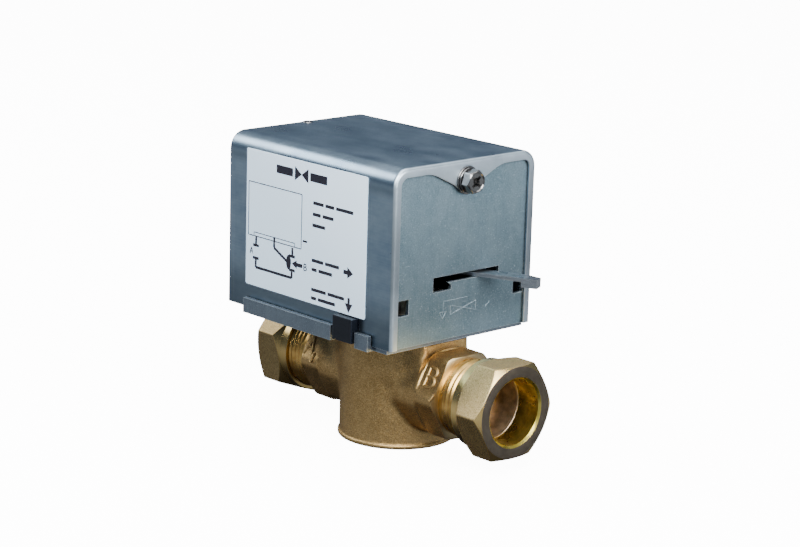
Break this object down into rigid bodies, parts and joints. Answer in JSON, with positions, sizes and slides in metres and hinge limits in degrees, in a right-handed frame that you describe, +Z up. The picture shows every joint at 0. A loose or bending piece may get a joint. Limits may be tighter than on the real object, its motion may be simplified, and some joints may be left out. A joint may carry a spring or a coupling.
{
  "type": "zone valve",
  "caption": "Motorised two-port zone valve: sheet steel actuator head with manual lever and release button on a brass body with compression pipe joints.",
  "frame": {"origin": "centre of the flat bottom of the valve body", "axes": "+X along the pipe towards port B, where the manual lever is; -Y is the labelled side with the release button; +Z up through the spindle"},
  "size_m": [0.1126, 0.0689, 0.1002],
  "materials": {
    "cast_brass": "cast, blasted, matt",
    "forged_brass": "forged and tumbled, satin, turned end face",
    "turned_brass": "turned, bright",
    "zinc_steel": "zinc plated sheet, satin",
    "galvanised_steel": "galvanised sheet, fine grain",
    "bright_steel": "nickel or zinc plated, bright",
    "grey_steel": "plain steel, smooth",
    "motor_steel": "drawn steel, satin",
    "black_plastic": "moulded, satin",
    "natural_plastic": "moulded acetal",
    "black_rubber": "nitrile rubber, matt",
    "label_film": "printed film, semi-matt"
  },
  "bodies": {
    "valve": {"valve_body": "cast_brass", "compression_nut_a": "forged_brass", "compression_nut_b": "forged_brass", "olive_a": "turned_brass", "olive_b": "turned_brass", "bonnet_plate": "bright_steel", "bonnet_o_ring": "black_rubber", "spindle_o_ring_lower": "black_rubber", "spindle_o_ring_upper": "black_rubber", "bonnet_screw_1": "bright_steel", "bonnet_screw_2": "bright_steel", "bonnet_screw_3": "bright_steel", "bonnet_screw_4": "bright_steel", "mounting_plate": "galvanised_steel"},
    "head": {"base_frame": "galvanised_steel", "cover": "zinc_steel", "cover_screw": "bright_steel", "cover_screw_washer": "bright_steel", "cover_label": "label_film", "drive_bush": "natural_plastic", "motor_deck": "galvanised_steel", "deck_pillar_1": "bright_steel", "deck_pillar_2": "bright_steel", "deck_pillar_3": "bright_steel", "deck_pillar_4": "bright_steel", "deck_screw_1": "bright_steel", "deck_screw_2": "bright_steel", "deck_screw_3": "bright_steel", "deck_screw_4": "bright_steel", "motor_gearbox": "motor_steel", "motor_can": "motor_steel", "motor_screw_1": "bright_steel", "motor_screw_2": "bright_steel", "end_switch": "black_plastic", "switch_screw_1": "bright_steel", "switch_screw_2": "bright_steel", "latch_bracket": "galvanised_steel", "button_spring": "bright_steel", "return_spring": "bright_steel", "cable_grommet": "black_rubber", "earth_screw": "turned_brass"},
    "drive": {"drive_hub": "natural_plastic", "sector_gear": "grey_steel", "lever_spacer": "natural_plastic", "manual_lever": "grey_steel", "lever_clip": "bright_steel"},
    "pinion": {"motor_pinion": "turned_brass", "motor_shaft": "bright_steel"},
    "spindle": {"valve_spindle": "bright_steel", "paddle_arm": "turned_brass", "valve_ball": "black_rubber"},
    "button": {"release_button": "black_plastic"},
    "switch_arm": {"switch_lever": "bright_steel"},
    "switch_pin": {"switch_plunger": "natural_plastic"}
  },
  "joints": [
    {"name": "head_lift", "type": "slide", "parent": "valve", "child": "head", "axis": [0, 0, 1], "range_m": [0, 0.03]},
    {"name": "drive_turn", "type": "hinge", "parent": "head", "child": "drive", "pos_m": [0, 0, 0.05], "axis": [0, 0, 1], "range_deg": [-36, 0], "stiffness_Nm_per_rad": 0.05, "springref_deg": 34.38, "deforming": ["return_spring"]},
    {"name": "pinion_turn", "type": "hinge", "parent": "head", "child": "pinion", "pos_m": [-0.0315, 0, 0.058], "axis": [0, 0, 1], "range_deg": [0, 122]},
    {"name": "spindle_turn", "type": "hinge", "parent": "valve", "child": "spindle", "pos_m": [0, 0, 0.03], "axis": [0, 0, 1], "range_deg": [-36, 0]},
    {"name": "release_press", "type": "slide", "parent": "head", "child": "button", "axis": [0, 1, 0], "range_m": [0, 0.0016], "stiffness_N_per_m": 300, "springref_m": -0.003, "deforming": ["button_spring"]},
    {"name": "switch_arm_turn", "type": "hinge", "parent": "head", "child": "switch_arm", "pos_m": [0.009, 0.0125, 0.0486], "axis": [0, 0, 1], "range_deg": [-3.6, 0]},
    {"name": "switch_pin_push", "type": "slide", "parent": "head", "child": "switch_pin", "axis": [0, 1, 0], "range_m": [0, 0.00045]}
  ],
  "couplings": [
    {"joint": "pinion_turn", "follows": "drive_turn", "ratio": -3.375},
    {"joint": "spindle_turn", "follows": "drive_turn", "ratio": 1},
    {"joint": "switch_arm_turn", "follows": "drive_turn", "ratio": 0.097},
    {"joint": "switch_pin_push", "follows": "drive_turn", "m_per_rad": -0.00064}
  ]
}
